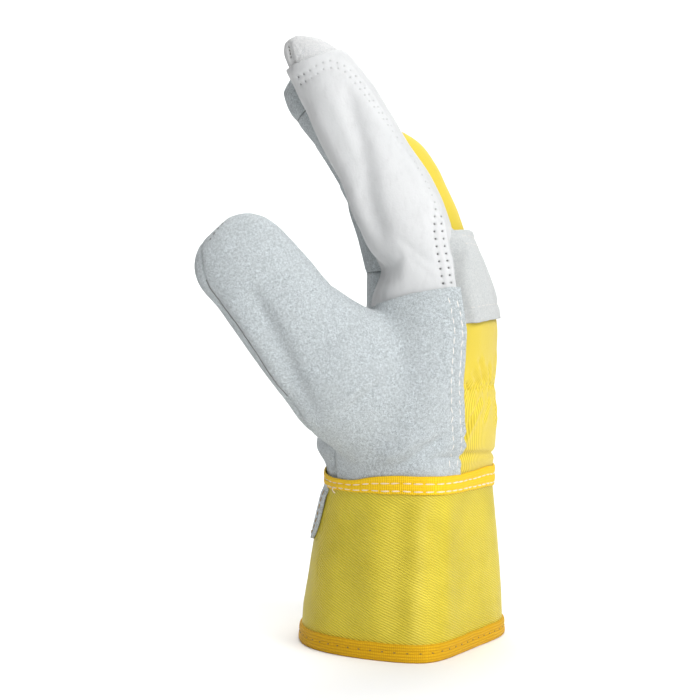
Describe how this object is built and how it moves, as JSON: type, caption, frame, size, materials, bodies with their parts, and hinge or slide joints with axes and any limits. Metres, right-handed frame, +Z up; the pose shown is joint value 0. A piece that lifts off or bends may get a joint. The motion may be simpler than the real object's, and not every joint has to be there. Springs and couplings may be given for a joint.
{
  "type": "leather work glove",
  "caption": "Right-hand rigger glove of suede and grain leather with canvas back, gathered wrist and flared stiff cuff, standing on its hem.",
  "frame": {"origin": "middle of the glove's box at the height of the hem that it stands on", "axes": "+Z up from the hem to the fingertips; the palm faces -X and the back of the hand +X; the thumb side faces -Y"},
  "size_m": [0.1308, 0.1174, 0.2546],
  "materials": {
    "suede": "grey split leather with a short nap",
    "pale_suede": "pale grey split leather with a short nap",
    "grain_leather": "off-white grain leather, soft sheen",
    "canvas": "yellow cotton drill",
    "coated_canvas": "yellow-green rubberised cotton twill",
    "tape": "orange-yellow ribbed woven tape"
  },
  "bodies": {
    "root": {"cuff": "coated_canvas", "hem_binding": "tape", "wrist_tape": "tape", "pulse_patch": "suede", "palm": "suede", "thumb_panel": "suede", "hand_back": "canvas", "knuckle_strap": "pale_suede", "index_front": "grain_leather", "index_back": "grain_leather", "index_tip": "pale_suede", "middle_front": "suede", "middle_back": "canvas", "middle_tip": "suede", "ring_front": "suede", "ring_back": "canvas", "ring_tip": "suede", "little_front": "suede", "little_back": "canvas", "little_tip": "suede"}
  },
  "joints": []
}
